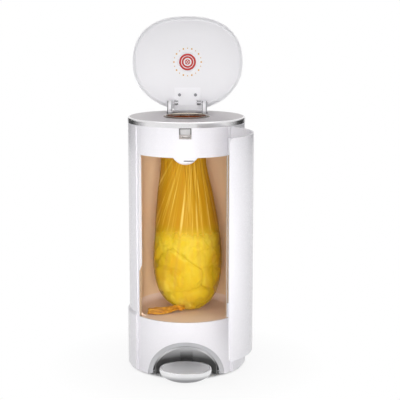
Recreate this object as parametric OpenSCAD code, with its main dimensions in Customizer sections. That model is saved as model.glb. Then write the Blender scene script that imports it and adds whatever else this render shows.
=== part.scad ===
// Nappy bin with a pedal lid, a tall side-hung door and a drawn-down liner.
// The body axis stands on the floor at the origin, +Z is up and the door faces -Y.
// It rests as it is emptied: lid up, pedal down, door open.
// Angles named "front" are counted from -Y, and grow towards +X.

/* [Body] */
// Outside radius of the upright body
body_r = 130; // [110:0.5:150]
// Thickness of the body moulding
body_wall = 5.4; // [5:0.2:6]
// Depth of the sunk seat that the door shuts on
seat_depth = 2.5; // [2.2:0.1:3]
// Step by which the foot of the bin is wider than the body
foot_step = 4; // [3:0.5:6]
// Height of the foot moulding
base_h = 129; // [116:0.5:142]
// Height of the steel top above the floor
top_h = 568; // [510:0.5:625]
// Height of the polished rim under the top
rim_h = 12; // [10:0.5:13]
// Height of the rubber foot ring
foot_h = 3; // [2:0.5:4]

/* [Door opening] */
// Front angle of the left edge of the opening
open_left = -54.4; // [-56:0.2:-53]
// Front angle of the right edge of the opening
open_right = 44.6; // [43.5:0.2:45]
// Height of the band between the opening and the rim
band_h = 63.3; // [57:0.1:70]
// Front angle of the left edge of the door seat
seat_left = -57; // [-59:0.5:-56.8]
// Front angle of the right edge of the door seat
seat_right = 51; // [50.5:0.5:54]

/* [Door] */
// Thickness of the outer door moulding
door_t = 3.3; // [2.8:0.1:3.6]
// Gap between the door and its seat
door_gap = 0.4; // [0.3:0.05:0.6]
// Length of the door that hangs over the foot moulding
door_skirt = 34; // [28:1:38]
// Gap between the door and the polished rim
door_head_gap = 0.6; // [0.5:0.1:2]
// Radius of the corners at the free edge of the door
door_corner = 9; // [4:0.5:14]
// Front angle of the free edge of the door
door_left = -56; // [-56.2:0.1:-55]
// Front angle of the hinged edge of the door
door_right = 44.3; // [43.5:0.1:44.4]
// Front angle of the door hinge pins
hinge_at = 46.6; // [46.4:0.1:46.9]
// Distance of the door hinge pins inside the body radius
hinge_in = 0.7; // [0.5:0.1:0.9]
// Angle that the door stands open at
door_open = 94; // [60:1:100]

/* [Lid] */
// Margin of the lid inside the body at each side
lid_side_in = 3; // [1:0.5:12]
// Margin of the lid inside the body at the front
lid_front_in = 7; // [5:0.5:14]
// Widest line of the lid ahead of the body axis
lid_ahead = 15; // [12:1:18]
// Height of the crown of the lid above its rim
lid_rise = 29; // [26:1:36]
// Thickness of the lid moulding
lid_wall = 3; // [2.4:0.2:4]
// Distance of the lid axle inside the body radius
axle_in = 28; // [26:0.5:30]
// Depth of the lid axle under the steel top
axle_drop = 7.5; // [7.3:0.1:8.2]
// Angle that the lid stands open at
lid_open = 96; // [80:1:97]

/* [Throat] */
// Inside radius of the throat ring
throat_r = 46; // [42:0.5:50]
// Distance of the throat ahead of the body axis
throat_y = 5; // [4:0.5:6]
// Depth of the flap pins under the steel top
flap_drop = 14.5; // [14:0.1:16]
// Angle that the flaps close through
flap_swing = 88; // [80:1:89]

/* [Pedal] */
// Half of the width of the pedal pad
pad_half_w = 57; // [51:1:63]
// Half of the depth of the pedal pad
pad_half_d = 31; // [28:1:34]
// Distance of the pedal axle behind the body axis
pedal_y = 20; // [18:1:22]
// Height of the pedal axle
pedal_z = 27; // [25:0.5:29]
// Slope of the pedal lever when it is pressed
pedal_slope = 4.4; // [4.2:0.1:4.6]
// Outside radius of the arch around the pedal
arch_r = 85; // [77:0.5:92]
// Width of the border of the arch
arch_border = 11; // [8:0.5:12]

/* [Liner] */
// Widest radius of the filled liner
bag_r = 78; // [70:1:85]
// Thickness of the liner film
film_t = 0.8; // [0.6:0.1:1.2]

/* [Fits] */
// Radial running clearance of the turning pins
run_fit = 0.05; // [0.03:0.01:0.1]
// Gap between neighbouring pieces
seam = 0.3; // [0.2:0.05:0.35]

/* [Hidden] */
$fn = 96;
// radii that follow the body
body_in = body_r - body_wall;
seat_r = body_r - seat_depth;
base_r = body_r + foot_step;
hinge_r = body_r - hinge_in;
cavity_r = body_in - 10.6;
cavity_y = -14;
cavity_wall_t = 2.4;
base_wall = 3.4;
// heights that follow the top
rim_low = top_h - rim_h;
open_top = rim_low - band_h;
door_high = rim_low - door_head_gap;
door_low = base_h - door_skirt;
plate_t = 1.6;
deck_low = top_h - plate_t - 8;
tray_z = open_top - 1.4;
tray_t = 3;
cassette_z = tray_z + tray_t;
cassette_top = cassette_z + 13.4;
flap_z = top_h - flap_drop;
axle_z = top_h - axle_drop;
lid_z = top_h + 1.2;
above = top_h + 60;
// lid, throat and film ring
axle_y = body_r - axle_in;
lid_mid = -lid_ahead;
lid_half_w = body_r - lid_side_in;
lid_front = body_r - lid_front_in - lid_ahead;
lid_back = axle_y + lid_ahead
           - (axle_drop + 0.4 - (axle_drop + 10.2) * cos(lid_open)) / sin(lid_open);
flap_x = throat_r - 2.5;
ring_in = throat_r + 22;
ring_out = body_in - 30.6;
// pedal gear
arch_in = arch_r - arch_border;
rod_y = body_in - 11.6;
rod_r = 3;
rod_stroke = 14.3;
rod_reach = rod_y - pedal_y;
pad_y = -body_r - 12;
pad_z = pedal_z + 5.6;
pad_tilt = 11;
pedal_axle_r = 3;
pin_r = 1.6;
knuckle_r = 3.2;
axle_r = 2.5;
// film bag
bag_x = 2;
bag_y = -6;
k = bag_r / 78;
nappy_r = bag_r / 2;
eps = 0.01;

// ---- helpers -------------------------------------------------------------

// Part of a ring about the body axis between two front angles.
module ring_part(r_in, r_out, from, to, low, high) {
  rotate([0, 0, from - 90])
    rotate_extrude(angle = to - from)
      translate([r_in, low])
        square([r_out - r_in, high - low]);
}

// Full ring standing on z = low.
module ring(r_in, r_out, low, high) {
  rotate_extrude()
    translate([r_in, low])
      square([r_out - r_in, high - low]);
}

// Cylinder between two heights.
module disc(r, low, high) {
  translate([0, 0, low])
    cylinder(r = r, h = high - low);
}

// Block given by its lower corner and its upper corner.
module block(a, b) {
  translate(a)
    cube(b - a);
}

// Place the children on the door hinge axis.
module at_hinge() {
  translate([hinge_r * sin(hinge_at), -hinge_r * cos(hinge_at), 0])
    children();
}

// Turn a closed door piece to where the door stands open.
module open_door() {
  px = hinge_r * sin(hinge_at);
  py = -hinge_r * cos(hinge_at);
  translate([px, py, 0])
    rotate([0, 0, door_open])
      translate([-px, -py, 0])
        children();
}

// Turn a closed lid piece to where the lid stands open.
module open_lid() {
  translate([0, axle_y, axle_z])
    rotate([-lid_open, 0, 0])
      translate([0, -axle_y, -axle_z])
        children();
}

// Rod along X, centred on the middle plane.
module rod_x(r, half, y, z) {
  translate([-half, y, z])
    rotate([0, 90, 0])
      cylinder(r = r, h = 2 * half);
}

// Rod along Y.
module rod_y_dir(r, x, z, from, to) {
  translate([x, from, z])
    rotate([-90, 0, 0])
      cylinder(r = r, h = to - from);
}

// Outline of the lid, drawn in by a margin.
function lid_point(t, margin) = let(
  front = sin(t) < 0,
  n = front ? 2.4 : 2.05,
  a = lid_half_w - margin,
  b = (front ? lid_front : lid_back) - margin
) [
  a * sign(cos(t)) * pow(abs(cos(t)), 2 / n),
  lid_mid + b * sign(sin(t)) * pow(abs(sin(t)), 2 / n)
];
module lid_slab(margin, low, high) {
  translate([0, 0, low])
    linear_extrude(high - low)
      polygon([for (i = [0 : 119]) lid_point(i * 3, margin)]);
}

// Oval of the pedal pad.
module pad_oval(margin, low, high) {
  translate([0, 0, low])
    linear_extrude(high - low)
      polygon([for (i = [0 : 71]) [
        (pad_half_w - margin) * cos(i * 5),
        (pad_half_d - margin) * sign(sin(i * 5)) * pow(abs(sin(i * 5)), 0.9)
      ]]);
}

// Countersunk-looking pan screw with its head up.
module pan_screw(head_r, head_h, shank_r, shank_h) {
  difference() {
    union() {
      cylinder(r = head_r, h = head_h);
      translate([0, 0, -shank_h])
        cylinder(r = shank_r, h = shank_h + eps);
    }
    for (a = [0, 90])
      rotate([0, 0, a])
        translate([-head_r * 0.6, -0.4, head_h * 0.45])
          cube([head_r * 1.2, 0.8, head_h]);
  }
}

// ---- foot of the bin -------------------------------------------------------

screw_x = body_r - 40;
screw_y = body_r - 46;
screw_spots = [[-screw_x, -8], [screw_x, -8], [-36, screw_y], [36, screw_y]];
pad_front = pad_y + 7;

module base_outline(low, high, inset) {
  difference() {
    rotate_extrude()
      polygon([
        [0, low], [base_r - inset - 3, low], [base_r - inset, low + 5],
        [base_r - inset, high], [0, high]
      ]);
    ring_part(seat_r - inset, base_r + 5, seat_left - inset * 0.45, seat_right + inset * 0.45,
              low - 1, high + 1);
  }
}

module base_shell() {
  color("white")
    difference() {
      base_outline(foot_h + 0.4, base_h, 0);
      difference() {
        base_outline(foot_h - 1, base_h - 8, base_wall);
        for (s = screw_spots)
          translate([s[0], s[1], 0])
            disc(5, foot_h + 3.4 + seam, base_h);
      }
      disc(body_in - 0.4, base_h - 4, base_h + 1);
      // arch for the pedal
      rod_y_dir(arch_r, 0, 0, -base_r - 2, -60);
      // way for the push rod
      translate([0, rod_y, 0])
        disc(rod_r + 1, base_h - 12, base_h);
      for (s = screw_spots)
        translate([s[0], s[1], 0])
          disc(1.7, 0, 22);
    }
}

module base_plate() {
  color("lightgray")
    difference() {
      disc(seat_r - base_wall - 0.8, foot_h + 0.4, foot_h + 3.4);
      translate([0, pad_front, 0])
        disc(arch_in + 3.6, 0, 20);
      for (s = screw_spots)
        translate([s[0], s[1], 0])
          disc(2.2, 0, 22);
      block([-arch_r - 0.4, -base_r - 6, 0], [arch_r + 0.4, pad_front + 54, 20]);
      // room for the swinging lever
      block([-12.6, rod_y - 29, 0], [12.6, rod_y + 9, 20]);
    }
}

module base_screws() {
  color("silver")
    for (s = screw_spots)
      translate([s[0], s[1], foot_h + 0.4])
        mirror([0, 0, 1])
          pan_screw(3.6, 1.8, 1.7, 14);
}

module foot_ring() {
  // soft ring that stops short on both sides of the pedal arch
  start = asin((arch_r + 0.4) / (base_r - 29)) - 2.4;
  color("dimgray")
    ring_part(base_r - 29, base_r - 17, start, 360 - start, 0, foot_h + 0.4);
}

// Half round of the arch as a solid running into the bin.
module arch_core(r, from, to) {
  intersection() {
    rod_y_dir(r, 0, 0, from, to);
    block([-r, from, foot_h + 0.4], [r, to, r]);
  }
}

module arch_trim() {
  color("gainsboro")
    difference() {
      intersection() {
        arch_core(arch_r, -body_r - 10, -60);
        difference() {
          disc(seat_r - 3, 0, 100);
          disc(seat_r - 9, -1, 101);
        }
      }
      arch_core(arch_in, -body_r - 11, -50);
      // lower part of the border steps inwards
      difference() {
        arch_core(arch_in + arch_border * 0.55, -body_r - 11, -50);
        disc(seat_r - 4.6, -1, 101);
      }
      block([-arch_r - 5, -body_r - 20, -1], [arch_r + 5, -50, foot_h + 0.4]);
    }
}

module pedal_tunnel() {
  color("dimgray")
    difference() {
      intersection() {
        arch_core(arch_in, -body_r - 10, -40);
        disc(seat_r - 5.2, 0, 100);
        translate([0, pad_front, 0])
          disc(arch_in + 3, 0, 100);
      }
      intersection() {
        translate([0, 0, -2])
          arch_core(arch_in - 2.4, -body_r - 11, -40);
        translate([0, pad_front, 0])
          disc(arch_in, -3, 100);
      }
      // slot for the lever
      block([-14, -100, 0], [14, -40, 43]);
      block([-200, -200, -1], [200, 0, foot_h + 0.4]);
    }
}

// ---- upright body ------------------------------------------------------------

lug_heights = [[base_h + 3, 16], [door_high - 55.4, 16]];

module hinge_lugs(fit) {
  // two lugs of the body take each pin, above and below the knuckle of the door
  for (l = lug_heights)
    for (z = [l[0], l[0] + 8 + l[1]])
      difference() {
        union() {
          at_hinge()
            disc(knuckle_r, z, z + 8 - seam);
          ring_part(body_in + 1, body_r - 0.6, hinge_at, seat_right + 1, z, z + 8 - seam);
        }
        at_hinge()
          disc(fit, z - 1, z + 10);
      }
}

module body_shell() {
  color("white") {
    difference() {
      rotate_extrude()
        polygon([
          [body_in, base_h + seam], [base_r, base_h + seam], [base_r, base_h + 2],
          [body_r, base_h + 8], [body_r, rim_low - 0.1], [body_in, rim_low - 0.1]
        ]);
      ring_part(seat_r, base_r + 5, seat_left, seat_right, base_h - 5, rim_low + 5);
      ring_part(body_in - 5, base_r + 5, open_left, open_right, base_h - 5, open_top);
      at_hinge()
        disc(knuckle_r + 0.5, base_h - 5, rim_low + 5);
      // window of the latch
      block([-13.4, -body_r - 20, rim_low - 24], [13.4, -body_r + 30, rim_low + 5]);
    }
    hinge_lugs(pin_r);
  }
}

module door_hinge_pins() {
  color("silver")
    for (l = lug_heights)
      at_hinge()
        disc(pin_r, l[0], l[0] + l[1] + 16 - seam);
}

jamb_turn = 1;
jamb_in = body_in - 3.2;
jamb_out = body_r - 2.6;
jamb_low = base_h + 105;
jamb_slant = 12;
module latch_jamb() {
  // strip down the left side of the opening, slanted at its lower end
  color("white")
    rotate([0, 0, open_left + 0.12 - 90])
      rotate_extrude(angle = jamb_turn)
        polygon([
          [jamb_in, jamb_low + jamb_slant], [jamb_out, jamb_low], [jamb_out, open_top - 0.2],
          [body_in + 0.1, open_top - 0.2], [body_in + 0.1, tray_z - seam], [jamb_in, tray_z - seam]
        ]);
}

module cavity_wall() {
  color("peachpuff")
    intersection() {
      translate([0, cavity_y, 0])
        ring_part(cavity_r, cavity_r + cavity_wall_t, 50.5, 299.5, base_h + 0.3, tray_z - seam);
      disc(body_in - 0.3, 0, above);
    }
}

module cavity_floor() {
  // dish with a coved rim that meets the wall
  color("peachpuff")
    difference() {
      intersection() {
        translate([0, cavity_y, 0])
          rotate_extrude()
            polygon(concat(
              [[0, base_h - 3.8], [cavity_r - seam, base_h - 3.8], [cavity_r - seam, base_h + 14]],
              [for (i = [1 : 8]) [
                cavity_r - seam - 14 * (1 - cos(i * 11.25)),
                base_h + 14 - 14 * sin(i * 11.25)
              ]],
              [[0, base_h]]
            ));
        disc(body_in - 0.8, 0, 300);
      }
      // the front is level with the sill
      intersection() {
        ring_part(60, body_r + 10, open_left - 4, open_right + 4, base_h, base_h + 30);
        block([-base_r, -base_r, base_h], [base_r, -body_in * 0.53, base_h + 30]);
      }
      translate([0, rod_y, 0])
        disc(rod_r + 1, base_h - 12, base_h + 20);
    }
}

module cassette_tray() {
  color("white")
    difference() {
      disc(body_in - 0.3, tray_z, tray_z + tray_t);
      translate([0, -throat_y, 0])
        disc(ring_in - 2, tray_z - 1, tray_z + 10);
      translate([0, rod_y, 0])
        disc(rod_r + 1, tray_z - 1, tray_z + 10);
    }
}

// ---- top of the bin -------------------------------------------------------

slot_half = 46.8;

module top_deck() {
  color("white")
    difference() {
      disc(body_in - 0.2, deck_low, top_h - plate_t);
      translate([0, -throat_y, 0])
        disc(throat_r + 2.2, deck_low - 1, top_h);
      block([-slot_half, axle_y - 56, deck_low - 1], [slot_half, axle_y + 11, top_h]);
      block([-14, -body_r - 10, deck_low - 1], [14, -body_r + 30, top_h + 1]);
      // seats of the axle bearings
      block([-58.5, axle_y - 7.5, deck_low - 1], [58.5, axle_y + 7.5, axle_z + 4]);
    }
}

module top_plate() {
  color("silver")
    difference() {
      disc(body_r - 4.2, top_h - plate_t, top_h);
      translate([0, -throat_y, 0])
        disc(throat_r + 2.2, top_h - 5, top_h + 5);
      block([-slot_half, axle_y - 54, top_h - 5], [slot_half, axle_y - 19, top_h + 5]);
    }
}

module polished_rim() {
  color("gray")
    rotate_extrude()
      polygon([
        [body_in, rim_low], [body_r + 0.6, rim_low], [body_r + 0.6, top_h - 3.2],
        [body_r, top_h - 1.3], [body_r - 1.4, top_h - 0.2], [body_r - 3, top_h],
        [body_r - 4.2, top_h], [body_r - 4.2, top_h - plate_t], [body_in, top_h - plate_t]
      ]);
}

module throat_ring() {
  color("goldenrod")
    translate([0, -throat_y, 0])
      rotate_extrude()
        polygon([
          [throat_r, deck_low + seam], [throat_r + 2, deck_low + seam], [throat_r + 2, top_h],
          [throat_r + 5.5, top_h], [throat_r + 5.5, top_h + 0.8], [throat_r + 4.2, top_h + 2.2],
          [throat_r + 1.4, top_h + 2.4], [throat_r, top_h + 1.2]
        ]);
}

module throat_seal() {
  color("sienna")
    translate([0, -throat_y, 0])
      ring(throat_r - 1.6, throat_r, deck_low - 0.4, top_h + 0.4);
}

chute_x = throat_r + 3;
chute_y = throat_r;
chute_t = 2.5;
chute_low = cassette_top + 3;
flap_reach = throat_r - 1.6;

module flap_chute() {
  color("white")
    translate([0, -throat_y, 0])
      difference() {
        block([-chute_x - chute_t, -chute_y - chute_t, chute_low],
              [chute_x + chute_t, chute_y + chute_t, deck_low]);
        block([-chute_x, -chute_y, chute_low - 1], [chute_x, chute_y, deck_low + 1]);
        for (s = [-1, 1])
          rod_y_dir(pin_r, s * flap_x, flap_z, -chute_y - 14, chute_y + 14);
      }
}

module flap_pins() {
  color("silver")
    translate([0, -throat_y, 0])
      for (s = [-1, 1])
        rod_y_dir(pin_r, s * flap_x, flap_z, -chute_y - chute_t, chute_y + chute_t);
}

// Half-round flap that hangs from its pin on the side s.
module hanging_flap(s) {
  translate([s * flap_x, -throat_y, flap_z])
    difference() {
      union() {
        rod_y_dir(3, 0, 0, -chute_y + 14, chute_y - 14);
        intersection() {
          block([-1.1, -flap_reach, -flap_x + 0.8], [1.1, flap_reach, 0]);
          translate([-3, 0, -flap_x])
            rotate([0, 90, 0])
              cylinder(r = flap_reach, h = 6);
        }
      }
      rod_y_dir(pin_r + run_fit, 0, 0, -60, 60);
    }
}
module flap_left() { color("gray") hanging_flap(-1); }
module flap_right() { color("gray") hanging_flap(1); }

// ---- liner -----------------------------------------------------------------

module liner_cassette() {
  color("lightgray")
    translate([0, -throat_y, 0])
      difference() {
        ring(ring_in, ring_out, cassette_z, cassette_top);
        // channel for the folded film, open at the top
        ring(ring_in + 4, ring_out - 4, cassette_z + 2, cassette_top - 2);
        ring(ring_out - 10, ring_out - 6, cassette_top - 3, cassette_top + 1);
      }
}

// Side of the bag: the full part follows the nappies, the neck follows the film ring.
full_z = base_h + 179 * k;
neck_z = tray_z - 17.3;
function neck_at(share) = full_z + share * (neck_z - full_z);
function bag_side(d) = [
  [ring_in - 4 - d, cassette_z + 2], [ring_in - 10 - d, tray_z - 5.3], [ring_in - 17 - d, neck_z],
  [54 * k - d, neck_at(0.801)], [60 * k - d, neck_at(0.566)], [66.5 * k - d, neck_at(0.253)],
  [72 * k - d, full_z], [76.5 * k - d, base_h + 143 * k], [78 * k - d, base_h + 115 * k],
  [76 * k - d, base_h + 88 * k], [72.5 * k - d, base_h + 67 * k],
  [66 * k - d, base_h + 47 * k + d * 0.3], [53 * k - d, base_h + 29 * k + d * 0.7],
  [37 * k - d, base_h + 15 * k + d], [18 * k - d * 0.4, base_h + 1 + 4 * k + d], [0, base_h + 1 + d]
];

module liner_bag() {
  color("orange")
    difference() {
      union() {
        translate([bag_x, bag_y, 0])
          rotate_extrude()
            polygon(concat([[0, cassette_z + 2]], bag_side(0)));
        translate([0, -throat_y, 0])
          disc(ring_in - 4, cassette_z + 1, cassette_top + seam);
        translate([0, -throat_y, 0])
          disc(ring_out - 12, cassette_top + seam, cassette_top + seam + film_t);
      }
      translate([bag_x, bag_y, 0])
        rotate_extrude()
          polygon(concat([[0, cassette_z + 2.01]], bag_side(film_t)));
      translate([0, -throat_y, 0])
        disc(ring_in - 4 - film_t, cassette_z + 1, cassette_top + 5);
    }
}

module liner_knot() {
  // knot under the edge of the bag and the flat tail beyond it
  color("orange")
    translate([bag_x, bag_y, base_h]) {
      translate([-31 * k, -32 * k, 6.4])
        sphere(r = 6);
      translate([0, 0, 0.6])
        linear_extrude(4)
          polygon(k * [
            [-32, -28], [-54, -20], [-76, -10], [-90, -16], [-86, -26], [-94, -32], [-82, -40],
            [-60, -38], [-34, -36]
          ]);
    }
}

module used_nappies() {
  // one at the bottom, then two rings of three
  first_z = base_h + 3.1 * k + nappy_r;
  color("gold")
    translate([bag_x, bag_y, first_z]) {
      sphere(r = nappy_r);
      for (a = [0, 120, 240])
        rotate([0, 0, a])
          translate([41.9 * k, 0, 60 * k])
            sphere(r = nappy_r * 0.87);
      for (a = [60, 180, 300])
        rotate([0, 0, a])
          translate([39.5 * k, 0, 114.7 * k])
            sphere(r = nappy_r * 0.87);
    }
}

cutter_z = tray_z + 14.7;
cutter_y = -body_in + 26.6;

module cutter_housing() {
  color("white")
    difference() {
      intersection() {
        rod_y_dir(30, 0, cutter_z, cutter_y - 42, cutter_y);
        disc(body_in - 1, tray_z - 80, tray_z - seam);
        translate([0, cutter_y - 2, cutter_z + 2])
          sphere(r = 37);
      }
      // slit that the film is drawn through
      block([-4, cutter_y - 42, tray_z - 7.7], [30, cutter_y - 10, tray_z - 5.3]);
    }
}

module cutter_blade() {
  color("silver")
    intersection() {
      block([-2, cutter_y - 18, tray_z - 7.1], [27, cutter_y - 10.3, tray_z - 6.1]);
      rod_y_dir(27, 0, cutter_z, cutter_y - 42, cutter_y);
    }
}

// ---- latch -------------------------------------------------------------------

latch_mid = rim_low - 12;
latch_back = -body_r + 28;

module latch_bezel() {
  color("gray")
    difference() {
      intersection() {
        block([-13.1, -body_r, rim_low - 23.7], [13.1, latch_back - 2, rim_low - 0.5]);
        disc(seat_r - 0.2, rim_low - 50, above);
      }
      block([-10.4, -body_r, latch_mid - 2.4], [10.4, latch_back - 4, rim_low - 2.6]);
      // pocket for the catch of the door
      block([-8, -body_r, rim_low - 21.4], [10, latch_back - 12, latch_mid - 4.6]);
    }
}

module latch_button() {
  color("silver")
    intersection() {
      union() {
        block([-10.1, -body_r, latch_mid - 2.1], [10.1, latch_back - 19, rim_low - 2.9]);
        rod_y_dir(2.5, 0, latch_mid + 3.6, latch_back - 20, latch_back - 8);
      }
      disc(seat_r - 0.9, rim_low - 50, above);
    }
}

module button_spring() {
  // coil between the back of the bezel and the button, drawn as close rings
  color("silver")
    for (i = [0 : 10])
      translate([0, latch_back - 4.62 - i * 1.376, latch_mid + 3.6])
        rotate([90, 0, 0])
          rotate_extrude()
            translate([4, 0])
              circle(r = 0.62, $fn = 24);
}

// ---- door --------------------------------------------------------------------

door_in = seat_r + door_gap;

module door_skin() {
  color("white")
    open_door()
      difference() {
        union() {
          difference() {
            ring_part(door_in, door_in + door_t, door_left, door_right, door_low, door_high);
            // rounded corners at the free edge
            rotate([0, 0, door_left])
              for (up = [0, 1])
                translate([0, 0, up ? door_high : door_low])
                  mirror([0, 0, up])
                    difference() {
                      block([-2, -body_r - 20, -2], [door_corner, -body_r + 20, door_corner]);
                      rod_y_dir(door_corner, door_corner, door_corner, -body_r - 21, -body_r + 21);
                    }
          }
          for (l = lug_heights) {
            at_hinge()
              disc(knuckle_r, l[0] + 8, l[0] + 8 + l[1] - seam);
            ring_part(door_in + 0.4, door_in + door_t - 0.6, door_right - 2, hinge_at,
                      l[0] + 8, l[0] + 8 + l[1] - seam);
          }
        }
        for (l = lug_heights)
          at_hinge()
            disc(pin_r + run_fit, l[0] - 10, l[0] + 50);
      }
}

module door_inner_panel() {
  color("whitesmoke")
    open_door()
      difference() {
        ring_part(body_in - 0.4, door_in, -46, 41.2, base_h + 7, open_top - 6);
        // raised frame and sunk middle
        ring_part(body_in - 2, body_in + 1.2, -42, 37, base_h + 15, open_top - 14);
      }
}

module door_catch() {
  color("gray")
    open_door()
      intersection() {
        union() {
          block([-4, -door_in - 2, rim_low - 19.6], [4, -seat_r + 9.5, rim_low - 18]);
          block([-4, -seat_r + 6, rim_low - 19.6], [4, -seat_r + 9.5, rim_low - 17.2]);
        }
        disc(door_in - eps, rim_low - 50, above);
      }
}

// ---- pedal -------------------------------------------------------------------

module pedal_pose() {
  translate([0, pedal_y, pedal_z])
    rotate([pedal_slope, 0, 0])
      children();
}

// The shield runs close behind the back wall of the pedal tunnel.
shield_y = pad_front + arch_in + 3 - pedal_y + 4.6;

module pad_pose() {
  translate([0, pad_y, pad_z])
    rotate([pad_tilt, 0, 0])
      children();
}

// Bar of the lever, also cut with a gap from what it passes.
module lever_bar(gap) {
  pedal_pose()
    block([-12 - gap, pad_y - pedal_y + 6, -4 - gap], [12 + gap, rod_reach, 4 + gap]);
}

module pedal_lever() {
  color("gray")
    difference() {
      union() {
        lever_bar(0);
        pedal_pose() {
          rod_x(4, 12, rod_reach, 0);
          rod_x(8, 12, 0, 0);
          // shield that keeps the slot of the tunnel shut
          block([-19, shield_y, -7], [19, shield_y + 2.5, 28]);
        }
        // block that fills the pad from below
        pad_pose()
          block([-26, -12, -18], [26, 14, -3]);
      }
      pedal_pose()
        rod_x(pedal_axle_r + run_fit, 40, 0, 0);
    }
}

module pedal_pad() {
  color("silver")
    difference() {
      pad_pose()
        difference() {
          hull() {
            pad_oval(3, -1, 0);
            pad_oval(0.6, -4, -2);
            pad_oval(0, -18, -6);
            pad_oval(2, -21, -20);
          }
          pad_oval(5, -0.6, 1);
          pad_oval(2.4, -30, -3);
          // way of the lever through the back of the rim
          block([-12.4, 14, -30], [12.4, 40, -9]);
        }
    }
}

module pedal_axle() {
  color("silver")
    rod_x(pedal_axle_r, 30, pedal_y, pedal_z);
}

module pedal_bearings() {
  color("lightgray")
    for (s = [-1, 1])
      difference() {
        union() {
          block([s * 21 - 4, pedal_y - 9, foot_h + 3.4], [s * 21 + 4, pedal_y + 9, pedal_z]);
          translate([s * 21, pedal_y, pedal_z])
            rotate([0, 90, 0])
              translate([0, 0, -4])
                cylinder(r = 9, h = 8);
        }
        rod_x(pedal_axle_r, 40, pedal_y, pedal_z);
        block([-40, 0, -1], [40, 40, foot_h + 3.4]);
      }
}

guide_heights = [base_h + 107, top_h - 148];

module push_rod() {
  foot = pedal_z + 11.6;
  head = axle_z - 2.3;
  collar = guide_heights[0] - 40;
  color("gray") {
    translate([0, rod_y, 0]) {
      disc(rod_r, foot, head - 32);
      disc(9, collar, collar + 4);
      disc(6, foot, foot + 4);
    }
    block([-5, axle_y - 17, head - 36], [5, rod_y + 3, head - 28]);
    block([-5, axle_y - 17, head - 36], [5, axle_y - 6.6, head]);
  }
}

module rod_guides() {
  color("lightgray")
    for (z = guide_heights)
      difference() {
        intersection() {
          block([-12, rod_y - 10, z], [12, body_r, z + 6]);
          disc(body_in, 0, above);
        }
        translate([0, rod_y, 0])
          disc(rod_r + 0.4, 0, above);
      }
}

module return_spring() {
  // coil between the collar of the rod and the lower guide, drawn as close rings
  color("silver")
    for (i = [0 : 14])
      translate([0, rod_y, guide_heights[0] - 34.7 + i * 2.37])
        rotate_extrude()
          translate([6.4, 0])
            circle(r = 1, $fn = 24);
}

// ---- lid -----------------------------------------------------------------------

module lid_shell() {
  color("white")
    open_lid()
      difference() {
        hull() {
          lid_slab(0, lid_z, lid_z + 9);
          lid_slab(1.2, lid_z + 12, lid_z + 13);
          lid_slab(4.5, lid_z + 16.5, lid_z + 17);
          lid_slab(12, lid_z + 21.5, lid_z + 22);
          lid_slab(30, lid_z + 26, lid_z + 26.5);
          lid_slab(62, lid_z + lid_rise - 0.3, lid_z + lid_rise);
        }
        hull() {
          lid_slab(lid_wall, lid_z - 1, lid_z + 9);
          lid_slab(lid_wall + 4, lid_z + 15, lid_z + 15.5);
          lid_slab(lid_wall + 30, lid_z + 23, lid_z + 23.5);
        }
      }
}

module lid_inner_panel() {
  color("whitesmoke")
    open_lid()
      difference() {
        lid_slab(lid_wall + seam, lid_z + 4, lid_z + 6.6);
        for (s = [-1, 1])
          translate([s * 18.5, axle_y - 45, 0])
            disc(1.8, lid_z, lid_z + 12);
        bracket_slots();
      }
}

module lid_gasket() {
  color("gainsboro")
    open_lid()
      difference() {
        lid_slab(lid_wall + 0.5, lid_z - 0.7, lid_z + 3.8);
        lid_slab(lid_wall + 3.4, lid_z - 2, lid_z + 5);
        // notches that clear the feet of the two goosenecks
        for (s = [-1, 1])
          block([s * 39 - 6 - seam, axle_y - 40, lid_z - 2], [s * 39 + 6 + seam, axle_y - 22 + seam, lid_z + 5]);
      }
}

scent_y = lid_mid - 3.6;
module scent_holder() {
  color("white")
    open_lid()
      translate([0, scent_y, 0])
        rotate_extrude()
          polygon([
            [0, lid_z + 4], [0, lid_z + 3.4], [20, lid_z + 3.4], [20, lid_z + 2.4],
            [22, lid_z + 2.4], [23.4, lid_z + 4]
          ]);
}

module scent_disc() {
  color("firebrick")
    open_lid()
      translate([0, scent_y, 0])
        rotate_extrude()
          polygon([
            [0, lid_z + 3.4], [0, lid_z + 1.9], [4.5, lid_z + 1.9], [4.5, lid_z + 2.2],
            [6, lid_z + 2.2], [6, lid_z + 1.7], [18.2, lid_z + 1.7], [19.2, lid_z + 2.4],
            [19.2, lid_z + 3.4]
          ]);
}

// Side view of a gooseneck: lid on the left, axle on the right, as when shut.
module gooseneck() {
  difference() {
    union() {
      translate([-12, -31])
        circle(r = 19);
      translate([-31, -31])
        square([9, lid_z + 1.4 - axle_z + 31]);
      translate([-2, -31])
        square([9, 31]);
      circle(r = 5.2);
    }
    translate([-12, -31])
      circle(r = 10);
    translate([-22, -31])
      square([20, 60]);
    translate([5.2, -3])
      square([6, 12]);
  }
}

module along_x(from, to) {
  translate([from, axle_y, axle_z])
    rotate([90, 0, 90])
      linear_extrude(to - from)
        children();
}

// Two pairs of slots beside the goosenecks.
module bracket_slots() {
  for (s = [-1, 1])
    for (y = [-32.1, -24.1])
      block([s * 26.2 - 3.6, axle_y + y, lid_z], [s * 26.2 + 3.6, axle_y + y + 2.2, lid_z + 9]);
}

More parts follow.
